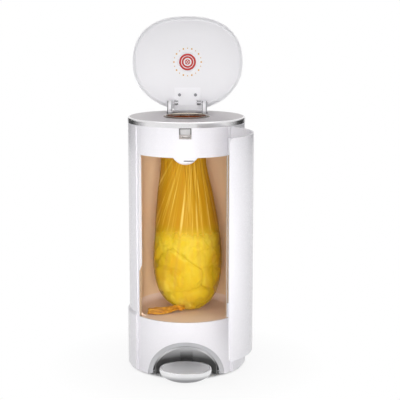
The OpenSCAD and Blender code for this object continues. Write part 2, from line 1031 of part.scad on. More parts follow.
module lid_hinge_bracket() {
  color("white")
    open_lid()
      difference() {
        union() {
          for (s = [-1, 1])
            along_x(s * 39 - 6, s * 39 + 6)
              gooseneck();
          // plate on the underside of the lid, and its wings to the goosenecks
          block([-30, axle_y - 62, lid_z + 1.4], [30, axle_y - 20, lid_z + 3.9]);
          block([-45, axle_y - 34, lid_z + 1.4], [45, axle_y - 24.6, lid_z + 3.9]);
          // sleeve on the axle
          along_x(-40, 40)
            circle(r = 4.8);
          // tongue that the rod lifts
          along_x(-4, 4)
            rotate([0, 0, 171 + lid_open])
              union() {
                translate([0, -2.5])
                  square([10.5, 5]);
                translate([10.5, 0])
                  circle(r = 2.5);
              }
        }
        rod_x(axle_r + run_fit, 80, axle_y, axle_z);
        for (s = [-1, 1])
          translate([s * 18.5, axle_y - 45, 0])
            disc(1.8, lid_z - 5, lid_z + 12);
        bracket_slots();
        // fine grooves along both edges of each gooseneck
        for (x = [-44.2, -35, 33.8, 43])
          along_x(x, x + 1.2)
            difference() {
              translate([-12, -31])
                circle(r = 21);
              translate([-12, -31])
                circle(r = 17.5);
              translate([-40, -31])
                square([60, 30]);
            }
      }
}

module bracket_screws() {
  color("gray")
    open_lid()
      for (s = [-1, 1])
        translate([s * 18.5, axle_y - 45, lid_z + 1.4])
          mirror([0, 0, 1])
            pan_screw(3.6, 1.1, 1.75, 3.6);
}

module lid_axle() {
  color("silver")
    rod_x(axle_r, 58, axle_y, axle_z);
}

module axle_bearings() {
  color("lightgray")
    for (s = [-1, 1])
      difference() {
        block([s * 54 - 4, axle_y - 7, axle_z - 7], [s * 54 + 4, axle_y + 7, axle_z + 4]);
        rod_x(axle_r, 80, axle_y, axle_z);
      }
}

base_shell();
base_plate();
base_screws();
foot_ring();
arch_trim();
pedal_tunnel();
body_shell();
latch_jamb();
cavity_wall();
cavity_floor();
cassette_tray();
door_hinge_pins();
top_deck();
top_plate();
polished_rim();
throat_ring();
throat_seal();
flap_chute();
flap_pins();
flap_left();
flap_right();
liner_cassette();
liner_bag();
liner_knot();
used_nappies();
cutter_housing();
cutter_blade();
latch_bezel();
latch_button();
button_spring();
door_skin();
door_inner_panel();
door_catch();
pedal_lever();
pedal_pad();
pedal_axle();
pedal_bearings();
push_rod();
rod_guides();
return_spring();
lid_shell();
lid_inner_panel();
lid_gasket();
scent_holder();
scent_disc();
lid_hinge_bracket();
bracket_screws();
lid_axle();
axle_bearings();
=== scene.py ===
import math
import random

import bpy
import bmesh
from mathutils import Matrix, Vector, noise


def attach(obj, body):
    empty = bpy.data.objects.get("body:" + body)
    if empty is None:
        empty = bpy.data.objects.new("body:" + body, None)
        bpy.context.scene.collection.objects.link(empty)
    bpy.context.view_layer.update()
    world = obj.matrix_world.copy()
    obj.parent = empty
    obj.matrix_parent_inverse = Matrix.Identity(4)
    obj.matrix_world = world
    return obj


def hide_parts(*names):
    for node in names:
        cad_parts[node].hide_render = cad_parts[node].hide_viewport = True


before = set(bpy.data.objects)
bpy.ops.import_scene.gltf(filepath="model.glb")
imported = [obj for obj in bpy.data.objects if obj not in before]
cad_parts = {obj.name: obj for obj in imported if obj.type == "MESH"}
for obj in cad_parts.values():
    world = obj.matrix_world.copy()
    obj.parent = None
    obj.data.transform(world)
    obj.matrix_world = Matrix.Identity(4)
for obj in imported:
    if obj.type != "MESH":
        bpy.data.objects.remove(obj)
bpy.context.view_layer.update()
mm = 0.001  # lengths in the dictionaries of the pieces are in millimetres


def linked(name, data):
    item = bpy.data.objects.new(name, data)
    bpy.context.scene.collection.objects.link(item)
    return item


# the camera looks down a little from the front
camera = {"place": (0.0553, -2.5668, 0.8468), "ahead": (-0.0097, 0.9837, -0.1795), "lens": 104.45, "sensor": 36}
cameraData = bpy.data.cameras.new("viewCamera")
cameraData.lens = camera["lens"]
cameraData.sensor_width = camera["sensor"]
viewCamera = linked("viewCamera", cameraData)
viewCamera.location = camera["place"]
viewCamera.rotation_euler = Vector(camera["ahead"]).to_track_quat("-Z", "Y").to_euler()
bpy.context.scene.camera = viewCamera
bpy.context.scene.view_settings.view_transform = "Standard"
print("camera set")


# a socket that can be added, multiplied and so on
class Value:
    def __init__(self, maker, socket):
        self.maker, self.socket = maker, socket

    def calc(self, operation, first, second):
        return self.maker.add("ShaderNodeMath", {"operation": operation}, {0: first, 1: second})

    def __add__(self, other):
        return self.calc("ADD", self, other)

    def __sub__(self, other):
        return self.calc("SUBTRACT", self, other)

    def __rsub__(self, other):
        return self.calc("SUBTRACT", other, self)

    def __mul__(self, other):
        return self.calc("MULTIPLY", self, other)

    def __truediv__(self, other):
        return self.calc("DIVIDE", self, other)

    def __rtruediv__(self, other):
        return self.calc("DIVIDE", other, self)

    def __abs__(self):
        return self.maker.add("ShaderNodeMath", {"operation": "ABSOLUTE"}, {0: self})

    __radd__ = __add__
    __rmul__ = __mul__


# a tree of nodes, and the one method that adds to it
class Nodes:
    def __init__(self, tree):
        self.tree = tree

    def add(self, kind, settings=None, inputs=None, out=0):
        node = self.tree.nodes.new(kind)
        for key, value in (settings or {}).items():
            if key == "stops":
                self.fillRamp(node.color_ramp, value)
            else:
                setattr(node, key, value)
        for key, value in (inputs or {}).items():
            self.put(node.inputs[key], value)
        return Value(self, node.outputs[out])

    def fillRamp(self, ramp, stops):
        while len(ramp.elements) < len(stops):
            ramp.elements.new(0.5)
        for element, (position, colour) in zip(ramp.elements, stops):
            element.position = position
            element.color = (*colour, 1)

    def put(self, socket, value):
        if isinstance(value, Value):
            self.tree.links.new(value.socket, socket)
        elif socket.type == "RGBA":
            socket.default_value = (*value, 1)
        else:
            socket.default_value = value

    def fade(self, value, low, high, first=0, second=1):
        inputs = {"Value": value, "From Min": low, "From Max": high, "To Min": first, "To Max": second}
        return self.add("ShaderNodeMapRange", inputs=inputs)

    def seen(self):
        # 1 where the camera looks, straight or in metal or through film
        straight = self.add("ShaderNodeLightPath", out="Is Camera Ray")
        mirrored = self.add("ShaderNodeLightPath", out="Is Glossy Ray")
        through = self.add("ShaderNodeLightPath", out="Is Transmission Ray")
        return straight + mirrored + through


# one material, with its shader and its place on the object
class Finish(Nodes):
    def __init__(self, name):
        self.material = bpy.data.materials.new(name)
        self.material.use_nodes = True
        super().__init__(self.material.node_tree)
        self.surface = self.tree.nodes["Principled BSDF"]
        self.place = self.add("ShaderNodeTexCoord", out="Object")

    def set(self, values):
        for name, value in values.items():
            self.put(self.surface.inputs[name], value)

    def axis(self, name):
        return self.add("ShaderNodeSeparateXYZ", inputs={"Vector": self.place}, out=name)

    def grain(self, size, detail=3, place=None, rough=0.5):
        inputs = {"Vector": place or self.place, "Scale": 1 / size, "Detail": detail, "Roughness": rough}
        return self.add("ShaderNodeTexNoise", inputs=inputs)

    def stretched(self, scale, detail, rough):
        place = self.add("ShaderNodeMapping", inputs={"Vector": self.place, "Scale": scale})
        return self.grain(1.0, detail, place, rough)

    def uneven(self, pattern, low, high):
        # noise lies mostly between 0.3 and 0.7
        return self.fade(pattern, 0.3, 0.7, low, high)

    def within(self, value, middle, full, none):
        # 1 up to one distance from the middle, 0 from another on
        return self.fade(abs(value - middle), none, full)

    def blend(self, factor, first, second):
        return self.add("ShaderNodeMix", {"data_type": "RGBA"}, {0: factor, 6: first, 7: second}, out=2)

    def mottled(self, size, dark, light, detail=2):
        return self.blend(self.grain(size, detail), dark, light)

    def tones(self, value, stops):
        return self.add("ShaderNodeValToRGB", {"stops": stops}, {"Fac": value})

    def fromAxis(self):
        flat = self.add("ShaderNodeCombineXYZ", inputs={"X": self.axis("X"), "Y": self.axis("Y")})
        return self.add("ShaderNodeVectorMath", {"operation": "LENGTH"}, {0: flat}, out="Value")

    def relief(self, height, depth):
        self.set({"Normal": self.add("ShaderNodeBump", inputs={"Height": height, "Distance": depth})})


def darker(colour, share):
    return tuple(channel * share for channel in colour)


# what all the plastics share, then all the brushed steel, then all the polished metal
plasticLook = {"cloud": 0.16, "shade": 0.97, "grain": 0.0012, "uneven": 0.1, "depth": 0.00003, "coatRough": 0.12}
steelLook = {"stretch": (4, 700, 700), "shade": 0.8, "spread": (0.2, 0.8), "uneven": 0.14, "wide": 0.07,
             "wideShare": 0.05, "depth": 0.00004}
metalLook = {"haze": 0.02, "shade": 0.93, "grain": 0.0009, "uneven": 0.06, "depth": 0.000006}


def moulded(name, rough=0.3, depth=plasticLook["depth"], coat=0.0):
    finish = Finish(name)
    fine = finish.grain(plasticLook["grain"], 2)
    finish.set({"Roughness": finish.uneven(fine, rough, rough + plasticLook["uneven"]),
                "Coat Weight": coat, "Coat Roughness": plasticLook["coatRough"]})
    finish.relief(fine, depth)
    return finish


def plastic(name, colour, rough=0.3, depth=plasticLook["depth"], coat=0.0):
    finish = moulded(name, rough, depth, coat)
    shade = darker(colour, plasticLook["shade"])
    finish.set({"Base Color": finish.mottled(plasticLook["cloud"], shade, colour)})
    return finish


def brushedSteel(name, colour, rough):
    finish = Finish(name)
    lines = finish.stretched(steelLook["stretch"], 4, 0.7)
    wide = finish.grain(steelLook["wide"], 2)
    roughness = finish.fade(lines, *steelLook["spread"], rough, rough + steelLook["uneven"])
    finish.set({"Base Color": finish.blend(lines, darker(colour, steelLook["shade"]), colour), "Metallic": 1.0,
                "Roughness": roughness + wide * steelLook["wideShare"]})
    finish.relief(lines, steelLook["depth"])
    return finish


def polished(name, rough):
    finish = Finish(name)
    haze = finish.grain(metalLook["haze"], 3)
    finish.set({"Metallic": 1.0, "Roughness": finish.uneven(haze, rough, rough + metalLook["uneven"])})
    finish.relief(finish.grain(metalLook["grain"], 2), metalLook["depth"])
    return finish


def brightMetal(name, colour, rough):
    finish = polished(name, rough)
    shade = darker(colour, metalLook["shade"])
    finish.set({"Base Color": finish.mottled(metalLook["haze"], shade, colour, 3)})
    return finish


bodyLook = {"colour": (0.79, 0.775, 0.81), "rough": 0.22, "coat": 0.25, "edge": (0.50, 0.35, 0.22),
            "wall": (0.1273, 0.1270), "low": (0.1288, 0.1292), "high": (0.4927, 0.4924)}
whiteGloss = plastic("whiteGloss", bodyLook["colour"], bodyLook["rough"], coat=bodyLook["coat"])

# white outside; on the inside and on the edge of the opening, the darker amber of the compartment's front edges, which
# is painted amber light from the film
bodyWhite = moulded("bodyWhite", bodyLook["rough"], coat=bodyLook["coat"])
height = bodyWhite.axis("Z")
inside = (bodyWhite.fade(bodyWhite.fromAxis(), *bodyLook["wall"]) * bodyWhite.fade(height, *bodyLook["low"])
          * bodyWhite.fade(height, *bodyLook["high"]))
outside = bodyWhite.mottled(plasticLook["cloud"], darker(bodyLook["colour"], plasticLook["shade"]), bodyLook["colour"])
bodyWhite.set({"Base Color": bodyWhite.blend(inside, outside, bodyLook["edge"])})

lidWhite = plastic("lidWhite", (0.90, 0.89, 0.915), 0.36)
paleGrey = plastic("paleGrey", (0.52, 0.52, 0.54), 0.35)
darkGrey = plastic("darkGrey", (0.035, 0.035, 0.038), 0.4, 0.00006)
midGrey = plastic("midGrey", (0.30, 0.30, 0.32), 0.35)
satinGrey = plastic("satinGrey", (0.50, 0.49, 0.49), 0.2, coat=0.5)
softRubber = plastic("softRubber", (0.03, 0.03, 0.03), 0.62, 0.0001)
sealGrey = plastic("sealGrey", (0.84, 0.84, 0.86), 0.5)
redDisc = plastic("redDisc", (0.52, 0.02, 0.018), 0.3)
amberInk = plastic("amberInk", (0.75, 0.42, 0.06), 0.35)
whiteInk = plastic("whiteInk", (0.85, 0.85, 0.85), 0.35)

# the peach of the compartment's wall and floor is painted amber light, bounced from the film onto white plastic; the
# front edges of the compartment are darker than its wall
amberBounce = {"wall": ((0.96, 0.70, 0.446), (0.99, 0.72, 0.46)), "edge": (0.50, 0.35, 0.22), "edgeY": (-0.060, -0.050),
         "floor": (0.99, 0.78, 0.65), "cloud": 0.16}
amberLitWall = moulded("amberLitWall", 0.34)
deeper = amberLitWall.fade(amberLitWall.axis("Y"), *amberBounce["edgeY"])
wall = amberLitWall.mottled(amberBounce["cloud"], *amberBounce["wall"])
amberLitWall.set({"Base Color": amberLitWall.blend(deeper, amberBounce["edge"], wall)})
amberLitFloor = plastic("amberLitFloor", amberBounce["floor"], 0.4)

# hollow behind the pedal: painted shade low down behind the pad, painted light higher up, and painted shade at the
# grey lip under the arch
tunnel = {"low": ((0.07, 0.07, 0.07), (0.11, 0.11, 0.11)), "high": ((0.88, 0.88, 0.89), (0.95, 0.95, 0.96)),
          "lip": (0.30, 0.30, 0.31), "highZ": (0.030, 0.062), "lipY": (-0.124, -0.104), "cloud": 0.05}
tunnelGrey = moulded("tunnelGrey")
litUpward = tunnelGrey.fade(tunnelGrey.axis("Z"), *tunnel["highZ"])
deeper = tunnelGrey.fade(tunnelGrey.axis("Y"), *tunnel["lipY"])
tunnelLit = tunnelGrey.blend(deeper, tunnel["lip"], tunnelGrey.mottled(tunnel["cloud"], *tunnel["high"]))
tunnelShade = tunnelGrey.mottled(tunnel["cloud"], *tunnel["low"])
tunnelGrey.set({"Base Color": tunnelGrey.blend(litUpward, tunnelShade, tunnelLit)})

# grey frame of the latch; its deep pocket is painted pale, painted light that makes up for the shade in it
bezel = {"top": (0.17, 0.16, 0.16), "low": (0.37, 0.33, 0.31), "pocket": (0.80, 0.77, 0.75),
         "lowZ": (0.5428, 0.5405), "pocketY": (-0.126, -0.1245)}
bezelGrey = moulded("bezelGrey")
pocketLight = bezelGrey.fade(bezelGrey.axis("Y"), *bezel["pocketY"])
bezelFront = bezelGrey.blend(bezelGrey.fade(bezelGrey.axis("Z"), *bezel["lowZ"]), bezel["top"], bezel["low"])
bezelGrey.set({"Base Color": bezelGrey.blend(pocketLight, bezelFront, bezel["pocket"])})

# seal in the throat, with a metal band over it
seal = {"red": ((0.30, 0.06, 0.02), (0.40, 0.10, 0.03)), "metal": (0.74, 0.70, 0.64), "metalZ": (0.5645, 0.5650),
        "rough": (0.22, 0.3), "cloud": 0.02}
amberSeal = Finish("amberSeal")
metalPart = amberSeal.fade(amberSeal.axis("Z"), *seal["metalZ"])
cloud = amberSeal.grain(seal["cloud"], 2)
amberSeal.set({"Base Color": amberSeal.blend(metalPart, amberSeal.blend(cloud, *seal["red"]), seal["metal"]),
               "Metallic": metalPart, "Roughness": amberSeal.uneven(cloud, *seal["rough"])})

topSteel = brushedSteel("topSteel", (0.50, 0.47, 0.48), 0.26)
padSteel = brushedSteel("padSteel", (0.92, 0.92, 0.93), 0.45)
brightRim = brightMetal("brightRim", (0.81, 0.80, 0.81), 0.19)
springSteel = brightMetal("springSteel", (0.55, 0.55, 0.57), 0.2)

# ring of the throat: painted shade in front, painted light at the back
ring = {"front": ((0.09, 0.07, 0.05), (0.14, 0.11, 0.09)), "back": ((0.50, 0.45, 0.38), (0.56, 0.51, 0.44)),
        "backY": (-0.03, 0.03), "cloud": 0.02}
ringMetal = polished("ringMetal", 0.16)
litBack = ringMetal.fade(ringMetal.axis("Y"), *ring["backY"])
ringMetal.set({"Base Color": ringMetal.blend(litBack, ringMetal.mottled(ring["cloud"], *ring["front"], 3),
                                             ringMetal.mottled(ring["cloud"], *ring["back"], 3))})

# the hinge bracket has painted shade in the grooves down each edge of its two necks and painted shadow round the edges
# of its slots; its white is paler than the body's, painted light that makes up for the shade on the angled necks
bracket = {"white": ((0.93, 0.92, 0.95), (0.96, 0.95, 0.98)), "dark": (0.08, 0.08, 0.09), "rough": (0.3, 0.4),
           "cloud": 0.1, "grooveShade": (0.0344, 0.0436), "grooveShadeWidth": (0.0006, 0.0009), "grooveShadeY": (0.100, 0.098),
           "slots": (0.0262, 0.0041, 0.0044), "slotRows": ((0.590, 0.0012, 0.0014), (0.5828, 0.0017, 0.0019))}
bracketWhite = Finish("bracketWhite")
sideways, height = abs(bracketWhite.axis("X")), bracketWhite.axis("Z")
innerGrooveShade, outerGrooveShade = [bracketWhite.within(sideways, groove, *bracket["grooveShadeWidth"]) for groove in bracket["grooveShade"]]
grooveShade = (innerGrooveShade + outerGrooveShade) * bracketWhite.fade(bracketWhite.axis("Y"), *bracket["grooveShadeY"])
upperSlotShade, lowerSlotShade = [bracketWhite.within(height, *row) for row in bracket["slotRows"]]
paintedShade = grooveShade + bracketWhite.within(sideways, *bracket["slots"]) * (upperSlotShade + lowerSlotShade)
cloud = bracketWhite.grain(bracket["cloud"], 2)
bracketWhite.set({"Base Color": bracketWhite.blend(paintedShade, bracketWhite.blend(cloud, *bracket["white"]),
                                                   bracket["dark"]),
                  "Roughness": bracketWhite.uneven(cloud, *bracket["rough"])})

finishFor = {
    whiteGloss: ("base_shell", "latch_jamb", "door_skin", "top_deck", "cassette_tray",
                 "cutter_housing", "flap_chute"),
    bracketWhite: ("lid_hinge_bracket",),
    lidWhite: ("lid_shell", "lid_inner_panel", "scent_holder", "door_inner_panel"),
    paleGrey: ("arch_trim", "base_plate", "liner_cassette", "pedal_bearings", "rod_guides", "axle_bearings",
               "door_catch"),
    bodyWhite: ("body_shell",),
    darkGrey: ("flap_left", "flap_right"),
    tunnelGrey: ("pedal_tunnel", "pedal_lever"),
    midGrey: ("push_rod", "bracket_screws"),
    bezelGrey: ("latch_bezel",),
    satinGrey: ("latch_button",),
    amberLitWall: ("cavity_wall",),
    amberLitFloor: ("cavity_floor",),
    softRubber: ("foot_ring",),
    sealGrey: ("lid_gasket",),
    amberSeal: ("throat_seal",),
    redDisc: ("scent_disc",),
    topSteel: ("top_plate",),
    padSteel: ("pedal_pad",),
    brightRim: ("polished_rim",),
    ringMetal: ("throat_ring",),
    springSteel: ("base_screws", "door_hinge_pins", "flap_pins", "cutter_blade", "button_spring", "pedal_axle",
                  "return_spring", "lid_axle"),
}
for finish, names in finishFor.items():
    for name in names:
        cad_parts[name].data.materials.clear()
        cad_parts[name].data.materials.append(finish.material)
print("finishes on the carried-over parts")


def dress(name, mesh, finish, smooth=True):
    if finish:
        mesh.materials.append(finish.material)
    mesh.polygons.foreach_set("use_smooth", [smooth] * len(mesh.polygons))
    return linked(name, mesh)


def fromFaces(name, points, faces, finish, smooth=True):
    mesh = bpy.data.meshes.new(name)
    mesh.from_pydata([tuple(point) for point in points], [], faces)
    mesh.update()
    return dress(name, mesh, finish, smooth)


def fromWork(name, work, finish, smooth=False):
    mesh = bpy.data.meshes.new(name)
    work.to_mesh(mesh)
    work.free()
    return dress(name, mesh, finish, smooth)


def skin(rings, closed=True, caps=(True, True)):
    # faces of a stack of rings that all have the same number of points
    points = [point for ring in rings for point in ring]
    count = len(rings[0])
    faces = []
    for row in range(len(rings) - 1):
        here, above = row * count, (row + 1) * count
        for step in range(count if closed else count - 1):
            after = (step + 1) % count
            faces.append((here + step, here + after, above + after, above + step))
    for wanted, row in zip(caps, (0, len(rings) - 1)):
        if wanted:
            middle = sum((Vector(point) for point in rings[row]), Vector()) / count
            points.append(middle)
            for step in range(count):
                pair = (row * count + step, row * count + (step + 1) % count)
                faces.append((*(pair[::-1] if row == 0 else pair), len(points) - 1))
    return points, faces


def fixNormals(piece, weld=None):
    work = bmesh.new()
    work.from_mesh(piece.data)
    if weld:
        bmesh.ops.remove_doubles(work, verts=work.verts, dist=weld)
    bmesh.ops.recalc_face_normals(work, faces=work.faces)
    work.to_mesh(piece.data)
    work.free()


def splitSharp(piece, angle):
    piece.data.set_sharp_from_angle(angle=math.radians(angle))


def addBox(work, middle, size):
    grow = Matrix.Diagonal([side * mm for side in size] + [1])
    bmesh.ops.create_cube(work, size=1, matrix=Matrix.Translation(Vector(middle) * mm) @ grow)


def circle(count):
    turns = [2 * math.pi * step / count for step in range(count)]
    return [(math.cos(turn), math.sin(turn)) for turn in turns]


def bent(value, power):
    return math.copysign(abs(value) ** power, value)


def ramp(value, start, end):
    # from 0 at the start to 1 at the end
    return max(0.0, min(1.0, (value - start) / (end - start)))


# lid, made shut and then turned up about its axle; crown and dish are margins from the edge and heights
lid = {"halfWidth": 127, "front": 108, "back": 107.2, "middleY": -15, "bottom": 569.2, "axle": (0, 102, 560.5),
       "open": 96, "points": 180, "frontPower": 2.4, "backPower": 2.05,
       "crown": [(96, 26), (74, 25.9), (54, 25.2), (38, 23.9), (26, 22.2), (17, 20.2), (11, 18.2), (7.4, 15.6),
                 (5.2, 12.8), (3.8, 9.6), (3, 7), (3, 0.2), (2.6, 0), (0.6, 0), (0, 0.5), (0, 4), (0.1, 8),
                 (0.5, 10.6), (1.6, 13.4), (3.6, 16.2), (6.6, 18.8), (11, 21.2), (17, 23.2), (26, 25.2),
                 (38, 26.9), (54, 28.2), (74, 28.9), (96, 29)],
       "dish": [(3.4, 6.6), (3.4, 4.4), (3.8, 4), (7, 4), (7.5, 4.35), (9.1, 4.35), (9.7, 4.05), (40, 4), (90, 4)],
       "slotX": 26.2, "slotRows": (71, 79), "slotSize": (7.2, 2.2, 6),
       "screwX": 18.5, "screwY": 57, "screwHole": 1.8, "cutHeight": 5, "cutDepth": 6,
       "foot": [((0, 86.6, -0.55), (64, 13.2, 0.6)), ((0, 80.5, 0.55), (60, 1.0, 1.6))]}


def lidOutline(margin, height):
    ring = []
    for side, ahead in circle(lid["points"]):
        power = 2 / (lid["frontPower"] if ahead < 0 else lid["backPower"])
        reach = (lid["front"] if ahead < 0 else lid["back"]) - margin
        x = (lid["halfWidth"] - margin) * bent(side, power)
        y = lid["middleY"] + reach * bent(ahead, power)
        ring.append(Vector((x * mm, y * mm, (lid["bottom"] + height) * mm)))
    return ring


def turnUp(piece):
    axle = Vector(lid["axle"]) * mm
    turn = Matrix.Rotation(math.radians(-lid["open"]), 4, "X")
    piece.data.transform(Matrix.Translation(axle) @ turn @ Matrix.Translation(-axle))
    fixNormals(piece)


lidShell = fromFaces("lidShell", *skin([lidOutline(*place) for place in lid["crown"]]), lidWhite)
turnUp(lidShell)
splitSharp(lidShell, 35)
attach(lidShell, "lid")
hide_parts("lid_shell")

lidPanel = fromFaces("lidPanel", *skin([lidOutline(*place) for place in lid["dish"]]), lidWhite)
fixNormals(lidPanel)
# holes for the two pairs of slots and the two screws
cuts = bmesh.new()
cutZ = lid["bottom"] + lid["cutHeight"]
for side in (-1, 1):
    for y in lid["slotRows"]:
        addBox(cuts, (side * lid["slotX"], y, cutZ), lid["slotSize"])
    middle = Matrix.Translation(Vector((side * lid["screwX"], lid["screwY"], cutZ)) * mm)
    radius, depth = lid["screwHole"] * mm, lid["cutDepth"] * mm
    bmesh.ops.create_cone(cuts, cap_ends=True, segments=24, radius1=radius, radius2=radius, depth=depth, matrix=middle)
panelCuts = fromWork("panelCuts", cuts, None)
hollow = lidPanel.modifiers.new("holes", "BOOLEAN")
hollow.operation = "DIFFERENCE"
hollow.object = panelCuts
depsgraph = bpy.context.evaluated_depsgraph_get()
lidPanel.data = bpy.data.meshes.new_from_object(lidPanel.evaluated_get(depsgraph))
lidPanel.modifiers.clear()
bpy.data.objects.remove(panelCuts)
turnUp(lidPanel)
splitSharp(lidPanel, 50)
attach(lidPanel, "lid")
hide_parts("lid_inner_panel")

# thin foot of the hinge bracket under the edge of the lid
work = bmesh.new()
for (x, y, height), size in lid["foot"]:
    addBox(work, (x, y, lid["bottom"] + height), size)
bracketFoot = fromWork("bracketFoot", work, lidWhite)
turnUp(bracketFoot)
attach(bracketFoot, "lid")
print("lid made")

# plain printed pattern on the scent disc and round it: disc and panel are how far each stands over the rim of the lid
motif = {"middle": -18.6, "disc": 1.62, "panel": 3.92, "thick": 0.14, "sides": 48, "hole": 0.02,
         "dots": 20, "reach": 31.5, "large": 1.9, "small": 1.2,
         "bands": [(6.2, 9.2), (13.4, 14.8)], "petals": 4, "petalReach": 3.1, "petal": 1.5, "petalLift": 0.2}


def printed(name, marks, depth, finish):
    # flat rings or dots, each a closed solid: x, y, hole, radius
    work = bmesh.new()
    top = lid["bottom"] + depth
    for x, y, hole, radius in marks:
        rows = []
        for reach, height in ((hole, 0), (radius, 0), (radius, motif["thick"]), (hole, motif["thick"])):
            rows.append([work.verts.new(Vector((x + reach * side, motif["middle"] + y + reach * ahead,
                                                top - height)) * mm) for side, ahead in circle(motif["sides"])])
        for first, second in zip(rows, rows[1:] + rows[:1]):
            for step in range(motif["sides"]):
                after = (step + 1) % motif["sides"]
                work.faces.new((first[step], first[after], second[after], second[step]))
    piece = fromWork(name, work, finish)
    turnUp(piece)
    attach(piece, "lid")


dots = []
for number, (side, ahead) in enumerate(circle(motif["dots"])):
    size = motif["small"] if number % 2 else motif["large"]
    dots.append((motif["reach"] * side, motif["reach"] * ahead, motif["hole"], size))
petals = [(motif["petalReach"] * side, motif["petalReach"] * ahead, motif["hole"], motif["petal"])
          for side, ahead in circle(motif["petals"])]
printed("amberDots", dots, motif["panel"], amberInk)
printed("whiteBands", [(0, 0, *band) for band in motif["bands"]], motif["disc"], whiteInk)
printed("centrePetals", petals, motif["disc"] + motif["petalLift"], whiteInk)
print("printed pattern made")

# pedal pad: brushed top with a polished rolled edge. Each ring is a margin at the sides, one at the front
# and a height, and the sides taper to a round belly
pad = {"halfWidth": 57, "halfDepth": 31, "place": (0, -142, 32.6), "tilt": 11, "points": 120, "power": 0.9,
       "top": [(29, 29, -1.5), (20, 20, -1.4), (10, 10, -1.1), (6, 6, -0.8), (4.6, 4.6, -0.5)],
       "edge": [(3.6, 3.6, -0.1), (2.8, 2.8, 0), (1.9, 1.9, -0.3), (1.1, 1.1, -1.1), (0.5, 0.5, -2.4),
                (0.1, 0.1, -4.4), (0, 0, -7), (0.9, 0.1, -10), (2.8, 0.3, -13.5), (6, 0.8, -16.8),
                (10, 1.6, -19.6), (14, 2.6, -21.6), (17, 3.6, -22.6), (19, 4.6, -22.6), (20, 5.6, -21.6),
                (12, 5.6, -14), (5, 5, -6), (4.4, 4.6, -3.6)],
       "rim": ((0.78, 0.78, 0.79), (0.88, 0.88, 0.89)), "bellyShade": (0.30, 0.30, 0.31), "bellyZ": (0.021, 0.011),
       "rimRough": 0.14, "cloud": 0.02}


def padOval(sideMargin, frontMargin, height):
    width, depth = (pad["halfWidth"] - sideMargin) * mm, (pad["halfDepth"] - frontMargin) * mm
    return [Vector((width * side, depth * bent(ahead, pad["power"]), height * mm))
            for side, ahead in circle(pad["points"])]


rings = [padOval(*place) for place in pad["top"] + pad["edge"]]
pedalPad = fromFaces("pedalPad", *skin(rings), padSteel)
# the rim is painted darker towards its bottom, a painted reflection of the shadow on the floor under the pad
padRim = polished("padRim", pad["rimRough"])
bellyShade = padRim.fade(padRim.axis("Z"), *pad["bellyZ"])
padRim.set({"Base Color": padRim.blend(bellyShade, padRim.mottled(pad["cloud"], *pad["rim"]), pad["bellyShade"])})
pedalPad.data.materials.append(padRim.material)
for face in pedalPad.data.polygons:
    row = min(face.vertices) // pad["points"]
    face.material_index = 1 if len(pad["top"]) - 1 <= row < len(rings) - 2 else 0
tilt = Matrix.Rotation(math.radians(pad["tilt"]), 4, "X")
pedalPad.data.transform(Matrix.Translation(Vector(pad["place"]) * mm) @ tilt)
fixNormals(pedalPad)
splitSharp(pedalPad, 45)
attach(pedalPad, "pedal")
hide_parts("pedal_pad")
print("pedal pad made")

# sloping border of the pedal arch: the section is a share of the width and how far it sinks in
arch = {"outer": 84.8, "inner": 74.2, "front": 127.3, "sink": 5.6, "low": 3.5, "steps": 96, "weld": 0.01,
        "section": [(1.0, 0.0), (0.97, 0.35), (0.8, 1.6), (0.5, 3.4), (0.2, 5.0), (0.03, 5.9), (0.0, 6.6),
                    (0.0, 9.6), (1.0, 9.6)]}
rings = []
for share, sink in arch["section"]:
    radius = arch["inner"] + (arch["outer"] - arch["inner"]) * share
    start = math.asin(arch["low"] / radius)
    ring = []
    for step in range(arch["steps"] + 1):
        turn = start + (math.pi - 2 * start) * step / arch["steps"]
        x = radius * math.cos(turn)
        y = -math.sqrt((arch["front"] - sink) ** 2 - x * x)
        ring.append(Vector((x, y, radius * math.sin(turn))) * mm)
    rings.append(ring)
points, faces = skin(rings + [rings[0]], closed=False, caps=(False, False))
for column in (0, arch["steps"]):
    faces.append(tuple(row * (arch["steps"] + 1) + column for row in range(len(rings))))
archBorder = fromFaces("archBorder", points, faces, paleGrey)
fixNormals(archBorder, arch["weld"] * mm)
splitSharp(archBorder, 40)
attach(archBorder, "housing")
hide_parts("arch_trim")
print("arch border made")

# film bag: hangs from the ring of folded film, round the nappies, gathered at its lowest point.
# side is heights and half widths, and each pair of heights is where a change starts and ends
film = {"side": [(130, 0), (133, 22), (139, 34), (147, 46), (155, 54.5), (172, 65.5), (196, 73), (217, 76),
                 (244, 78), (272, 76.5), (308, 73), (350, 68.5), (402, 61), (441, 54), (474, 51), (486, 58),
                 (497, 63.6), (505, 63.8)],
        "foot": 18, "middle": (2, -6), "gather": (6, -14), "gatherZ": (190, 130), "gatherPower": 1.6,
        "lean": -9, "leanZ": (300, 470), "neckY": -5, "neckZ": (480, 494), "throat": 500,
        "bottom": 130.1, "top": 508.2, "lip": 3, "wall": 0.5, "flange": 80, "flangeThick": 0.4,
        "around": 400, "rows": 230, "rowPower": 1.25, "seed": 5, "creases": 34,
        "width": (0.03, 0.11), "depth": (0.5, 2.6), "lowest": (300, 420), "twist": (-0.12, 0.12),
        "twistFrom": 480, "twistOver": 200, "creaseFade": 90, "creasePower": 1.4,
        "hangZ": (250, 370), "hangEndZ": (500, 480), "pressZ": (330, 300), "pressEndZ": (131, 145),
        "dentTurn": 2.2, "dentRise": 0.02, "deepest": 1.5, "pleats": 23, "pleatDepth": 0.16, "pleatZ": (168, 134)}
random.seed(film["seed"])
filmCreases = []
for number in range(film["creases"]):
    filmCreases.append((random.uniform(0, 2 * math.pi), random.uniform(*film["width"]),
                        random.uniform(*film["depth"]), random.uniform(*film["lowest"]),
                        random.uniform(*film["twist"])))


